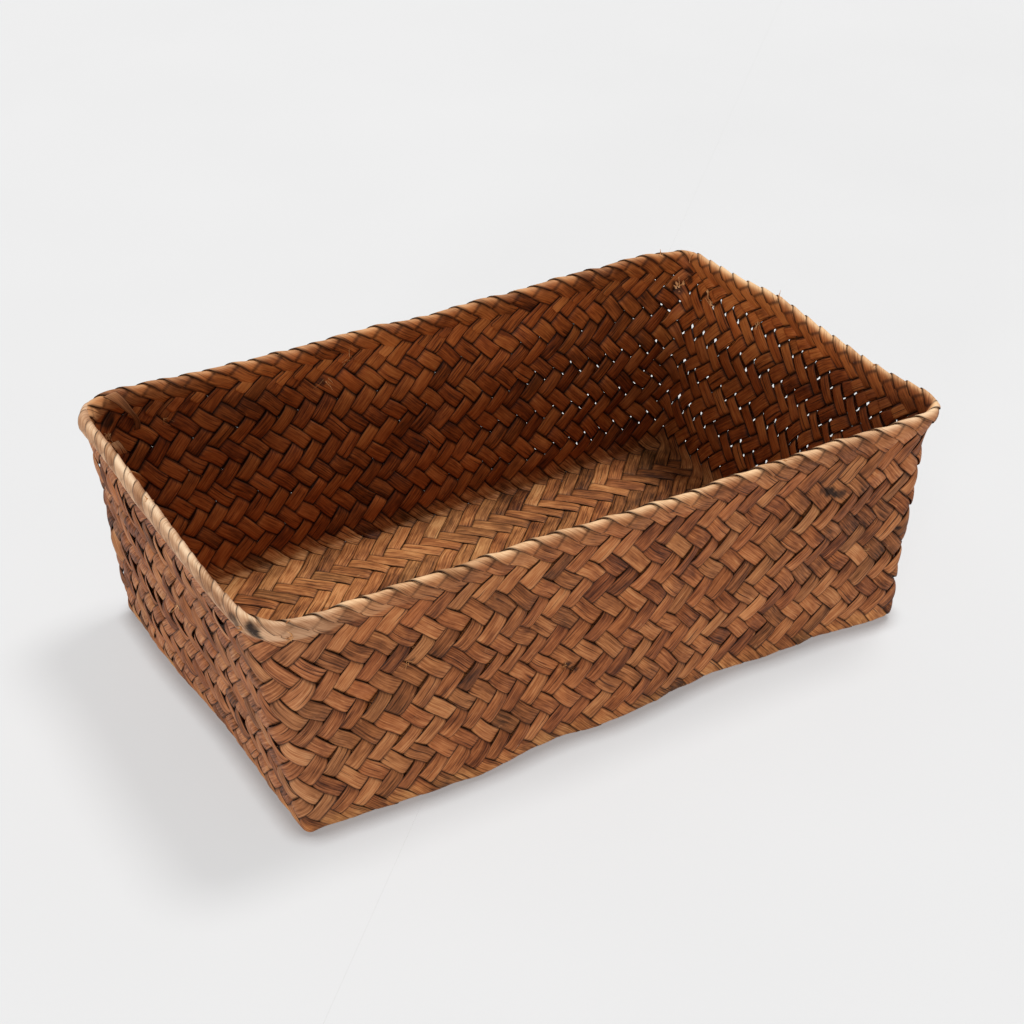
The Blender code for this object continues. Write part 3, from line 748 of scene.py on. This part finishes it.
def floor_paint():
    """The pale floor, matt with the faintest mottling, and with a painted contact shadow close to the basket.
    """
    m = Nodes("floor_paint")
    place = m.add("ShaderNodeTexCoord").outputs["Object"]
    mottle = m.noise(place, 6.0, 2.0)
    paint = m.ramp(mottle, [(0.3, (FLOOR_PAINT[0],) * 3), (0.7, (FLOOR_PAINT[1],) * 3)])
    # Painted shadow: darker where the basket is near
    near = m.add("ShaderNodeAmbientOcclusion", {"Distance": CONTACT_REACH}, samples=16).outputs["AO"]
    shade = m.between(near, 0.45, 0.9, CONTACT_DEPTH, 0.0)
    m.set(m.shader.inputs["Base Color"], m.mix(shade, paint, (*CONTACT_SHADOW_COLOUR, 1)))
    m.shader.inputs["Roughness"].default_value = 0.9
    m.shader.inputs["Specular IOR Level"].default_value = 0.0
    return m.material


# ---- Pieces ---------------------------------------------------------------------------------------------


def add_piece(name, data, material):
    """An object of this mesh or curve with this material, in the scene."""
    piece = bpy.data.objects.new(name, data)
    data.materials.append(material)
    bpy.context.scene.collection.objects.link(piece)
    return piece


def rim_side(column):
    """The CAD rim fold that a strip end at this ring column stands for."""
    return ("front", "right", "back", "left")[int(np.searchsorted(CORNERS, column % RING, side="right")) - 1]


def corner_near(column):
    """The CAD corner fold within a column and a half of this ring column, or None."""
    names = ("front_left", "front_right", "back_right", "back_left")
    for corner, name in zip(CORNERS, names):
        if abs((column - corner + RING / 2) % RING - RING / 2) < 1.6:
            return name
    return None


def add_strips(material):
    """All 96 strips. Three neighbours stand for each CAD band, and strip ends stand for the rim folds."""
    for falling, family in ((True, "falling"), (False, "rising")):
        for number in range(LONG + SHORT):
            seed = 1000 * (1 + falling) + 17 * number
            name = f"strip_{family}_{number + 1:02d}"
            grid, layout = strip_surface(falling, number, seed)
            mesh = ribbon_mesh(name, [ribbon(grid, layout, 1 if falling else -1, seed)])
            piece = add_piece(name, mesh, material)
            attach(piece, "root")
            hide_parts(f"seagrass_band_{family}_{number // STRIPS_PER_BAND + 1:02d}")
            middle = number + 0.5 - (0 if falling else SHORT)
            for leaving in exits_of(falling, middle):
                column = leaving.column(middle, CORE_AT)
                corner = corner_near(column)
                fold = f"rim_fold_{corner}_corner" if corner else f"rim_fold_{rim_side(column)}"
                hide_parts(fold)


def add_cut_ends(material):
    """The cut ends of strips that show inside, just under the folded rim: one piece for each side."""
    rng = np.random.default_rng(77)
    ribbons = {"front": [], "right": [], "back": [], "left": []}
    for falling in (True, False):
        for number in range(LONG + SHORT):
            middle = number + 0.5 - (0 if falling else SHORT)
            for leaving in exits_of(falling, middle):
                column = leaving.column(middle, CUT_END_LOW)
                if leaving.turn < 0 and rng.uniform() < 0.8 and not corner_near(column):
                    grid, layout = cut_end(falling, number, leaving, rng)
                    seed = 5000 + 13 * number + falling
                    ribbons[rim_side(column)].append(ribbon(grid, layout, 1 if falling else -1, seed))
    for side, ends in ribbons.items():
        piece = add_piece(f"cut_ends_{side}", ribbon_mesh(f"cut_ends_{side}", ends), material)
        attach(piece, "root")


FRAYS = (  # ring column, height in columns, 1 outside or -1 inside, strands, their length and thickness
    (67.0, 8.6, -1, 12, 0.0042, 1.6), (77.6, 8.8, -1, 16, 0.0045, 1.7), (74.75, 8.8, -1, 8, 0.0030, 1.4),
    (48.3, 8.8, -1, 10, 0.0058, 4.5), (46.0, 9.1, -1, 7, 0.0034, 2.4), (45.75, 8.6, -1, 9, 0.0040, 2.2),
    (42.25, 8.9, -1, 8, 0.0030, 1.4), (65.75, 9.5, -1, 6, 0.0030, 1.2), (12.25, 3.8, 1, 12, 0.0036, 1.3),
    (28.0, 4.4, 1, 9, 0.0030, 1.2), (87.25, 5.8, 1, 10, 0.0034, 1.5), (5.3, 6.8, 1, 5, 0.0028, 1.2),
    (0.9, 10.2, 1, 9, 0.0032, 2.0), (95.2, 10.4, 1, 6, 0.0026, 2.0), (56.0, 3.1, 1, 8, 0.0032, 1.3),
    (36.0, 6.2, 1, 8, 0.0028, 1.3),
)
WHISKERS = (  # ring column on the ridge, strands, their length and thickness
    (49.3, 3, 0.0040, 2.6), (47.6, 2, 0.0035, 2.2), (86.2, 4, 0.0026, 1.6), (84.0, 3, 0.0025, 1.3),
    (91.0, 3, 0.0022, 1.4), (69.0, 2, 0.0022, 1.2), (41.3, 4, 0.0028, 1.8), (34.5, 3, 0.0022, 1.4),
    (22.0, 2, 0.0025, 1.2), (1.0, 4, 0.0026, 1.6),
)
FIBRE_RADIUS = 0.00013


def strands(rng, base, out, along, count, length, thickness, lift):
    """Short bent fibres from about one place, each as its points and their thicknesses."""
    up = np.cross(out, along)
    heading = rng.uniform(0, 2 * math.pi)
    found = []
    for _ in range(count):
        way = heading + rng.normal() * 0.8
        start = base + (along * rng.normal() + up * rng.normal()) * length * 0.16
        ahead = along * math.cos(way) + up * math.sin(way) + out * rng.uniform(*lift)
        bend = rng.normal(size=3) * 0.55 - out * lift[1] * 0.5
        t = np.linspace(0, 1, 6)[:, None]
        points = start + (ahead * t + bend * t**2) * length * rng.uniform(0.45, 1.0)
        found.append((points, thickness * rng.uniform(0.5, 1.5) * (1 - 0.75 * t[:, 0])))
    return found


def add_frays(material):
    """Fibres that have come loose: broken bits on the walls and whiskers on the rim's ridge."""
    rng = np.random.default_rng(91)
    curve = bpy.data.curves.new("frayed_fibres", "CURVE")
    curve.dimensions = "3D"
    curve.bevel_depth, curve.bevel_resolution = FIBRE_RADIUS, 1
    curve.use_fill_caps = True
    bunches = FRAYS + tuple((a, CORE_AT, 0, *rest) for a, *rest in WHISKERS)
    for a, b, side, count, length, thickness in bunches:
        near, normal = ring_sheet(np.array([a - 0.1, a + 0.1]), np.array([b, b]))
        if side:
            out, lift = normal[0] * side, (0.05, 0.7)
            base = near[0] + out * (FOLD_WIDTH if b > SWELL_FROM else PLY_LIFT + FLOAT_ARCH + 0.0002)
        else:
            out, lift = np.array([0.0, 0.0, 1.0]), (0.5, 1.4)
            base = near[0] + out * (FOLD_HEIGHT - 0.0002)
        base = settled(base[None])[0]
        along = (near[1] - near[0]) / np.linalg.norm(near[1] - near[0])
        for points, radii in strands(rng, base, out, along, count, length, thickness, lift):
            spline = curve.splines.new("POLY")
            spline.points.add(len(points) - 1)
            spline.points.foreach_set("co", np.concatenate([points, np.ones((len(points), 1))], 1).ravel())
            spline.points.foreach_set("radius", radii)
    piece = add_piece("frayed_fibres", curve, material)
    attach(piece, "root")


def hanging(t, across, seed, column, width, height, away, rise, shade, ridge):
    """A ribbon that hangs inside the back left corner, this far from the wall. Each measure goes with t along
    it: the column of its middle, half its width and its height in columns."""
    sheet, normal = ring_sheet(column + width * across, height)
    lifted = np.array([0.0, 0.0, 1.0]) * ((FOLD_HEIGHT + 0.0002) * rise)[..., None]
    place = settled(sheet - normal * away[..., None] + lifted)
    ones = np.ones_like(t)
    layout = {
        "r": t * 2.6, "s": across * 0.3, "ply": ones, "wall": ones * 0.7, "shade": ones * shade,
        "petal": ones * 0.3, "ridge": ridge, "spot": ones * 0, "painted_sheen": ones * 0,
    }
    return ribbon(place, layout, 1, seed)


def add_loose_strip(material):
    """The strip end that bends down from the ridge inside the back left corner, and the stub below it."""
    t = np.linspace(0, 1, 26)[:, None] * np.ones((1, ACROSS + 1))
    across = np.linspace(-1, 1, ACROSS + 1)[None, :] * np.ones_like(t)
    bent = hanging(
        t, across, 6100, column=77.0 - 0.95 * np.sin(t * 1.7), width=0.34 - 0.20 * smooth(t / 0.6),
        height=CORE_AT - 1.9 * t**1.5, away=0.0006 + 0.0050 * np.sin(math.pi * (t * 0.78 + 0.12)),
        rise=np.clip(1 - t * 2.2, 0, 1) ** 1.5, shade=-2.6, ridge=0.4 * np.exp(-((t / 0.12) ** 2)),
    )
    stub = hanging(
        t, across, 6200, column=77.3 - 0.35 * t, width=0.26, height=CORE_AT - 2.2 - 0.70 * t,
        away=0.0014 + 0.0010 * np.sin(math.pi * t), rise=0 * t, shade=1.2, ridge=0.35 * (1 - t),
    )
    piece = add_piece("loose_strip_back_left", ribbon_mesh("loose_strip_back_left", [bent, stub]), material)
    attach(piece, "root")


def add_hoop(material):
    """The hoop in the rim, which follows the basket's uneven shape."""
    a = np.arange(0, RING, 0.5)
    place, _ = ring_sheet(a, np.full_like(a, CORE_AT))
    place = settled(place)
    curve = bpy.data.curves.new("rim_hoop", "CURVE")
    curve.dimensions = "3D"
    curve.bevel_depth = HOOP_RADIUS
    curve.bevel_resolution = 3
    spline = curve.splines.new("POLY")
    spline.points.add(len(a) - 1)
    spline.points.foreach_set("co", np.concatenate([place, np.ones((len(a), 1))], 1).ravel())
    spline.use_cyclic_u = True
    piece = add_piece("rim_hoop", curve, material)
    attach(piece, "root")
    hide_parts("rim_core")


# ---- Stage ----------------------------------------------------------------------------------------------


CAMERA_AZIMUTH, CAMERA_ELEVATION, CAMERA_DISTANCE = -30.55, 32.1, 0.7864
CAMERA_TARGET, CAMERA_LENS, CAMERA_SHIFT = (0, 0, 0.05), 68.83, (0.0042, -0.0021)
WORLD_STRENGTH = 0.5
BACKDROP = 0.847  # how bright the floor and the backdrop look
KEY_TOWARD, KEY_STRENGTH, KEY_ANGLE = (0.38, 0.10, 1.0), 2.3, 16
FILL_TOWARD, FILL_STRENGTH, FILL_ANGLE = (-0.72, -0.58, 0.12), 1.25, 8
FLOOR_LIGHT = 7.82
CONTACT_REACH, CONTACT_DEPTH, CONTACT_SHADOW_COLOUR = 0.010, 0.60, (0.06, 0.046, 0.042)  # painted contact shadow: the dark line where it stands


def add_floor():
    """The floor, which is part of the stage and not of the basket."""
    bpy.ops.mesh.primitive_plane_add(size=200)
    floor = bpy.context.object
    floor.name = "floor"
    floor.data.materials.append(floor_paint())
    return floor


def add_light(name, toward, strength, angle, only=None):
    """A soft far light that shines from this direction, on everything or only on one object, shadowless."""
    light = bpy.data.lights.new(name, "SUN")
    light.energy = strength
    light.angle = math.radians(angle)
    lamp = bpy.data.objects.new(name, light)
    lamp.rotation_mode = "QUATERNION"
    lamp.rotation_quaternion = Vector(toward).to_track_quat("Z", "Y")
    bpy.context.scene.collection.objects.link(lamp)
    if only:
        light.use_shadow = False
        receivers = bpy.data.collections.new(name + "_receivers")
        receivers.objects.link(only)
        lamp.light_linking.receiver_collection = receivers


def add_world():
    """A white studio, which lights the scene softly and is a pale backdrop where the camera sees it."""
    world = bpy.data.worlds.new("studio")
    world.use_nodes = True
    nodes, links = world.node_tree.nodes, world.node_tree.links
    studio, backdrop = nodes["Background"], nodes.new("ShaderNodeBackground")
    for background, strength in ((studio, WORLD_STRENGTH), (backdrop, BACKDROP)):
        background.inputs["Color"].default_value = (1.0, 1.0, 1.0, 1.0)
        background.inputs["Strength"].default_value = strength
    seen, mix = nodes.new("ShaderNodeLightPath"), nodes.new("ShaderNodeMixShader")
    links.new(seen.outputs["Is Camera Ray"], mix.inputs[0])
    links.new(studio.outputs[0], mix.inputs[1])
    links.new(backdrop.outputs[0], mix.inputs[2])
    links.new(mix.outputs[0], nodes["World Output"].inputs["Surface"])
    bpy.context.scene.world = world


def add_camera():
    """The camera, fitted to the corners of the rim and the base in the photo."""
    azimuth, elevation = math.radians(CAMERA_AZIMUTH), math.radians(CAMERA_ELEVATION)
    back = Vector((
        math.sin(azimuth) * math.cos(elevation), -math.cos(azimuth) * math.cos(elevation), math.sin(elevation)
    ))
    data = bpy.data.cameras.new("camera")
    data.sensor_width = 36
    data.lens = CAMERA_LENS
    data.shift_x, data.shift_y = CAMERA_SHIFT
    camera = bpy.data.objects.new("camera", data)
    camera.location = Vector(CAMERA_TARGET) + back * CAMERA_DISTANCE
    camera.rotation_mode = "QUATERNION"
    camera.rotation_quaternion = (-back).to_track_quat("-Z", "Y")
    bpy.context.scene.collection.objects.link(camera)
    bpy.context.scene.camera = camera


add_camera()
leaf_material = seagrass()
add_strips(leaf_material)
add_cut_ends(leaf_material)
add_loose_strip(leaf_material)
add_frays(fibre())
add_hoop(cane())
floor_object = add_floor()
add_world()
add_light("key", KEY_TOWARD, KEY_STRENGTH, KEY_ANGLE)
add_light("fill", FILL_TOWARD, FILL_STRENGTH, FILL_ANGLE)
add_light("floor_light", (0, 0, 1), FLOOR_LIGHT, 10, only=floor_object)
bpy.context.scene.view_settings.view_transform = "Standard"
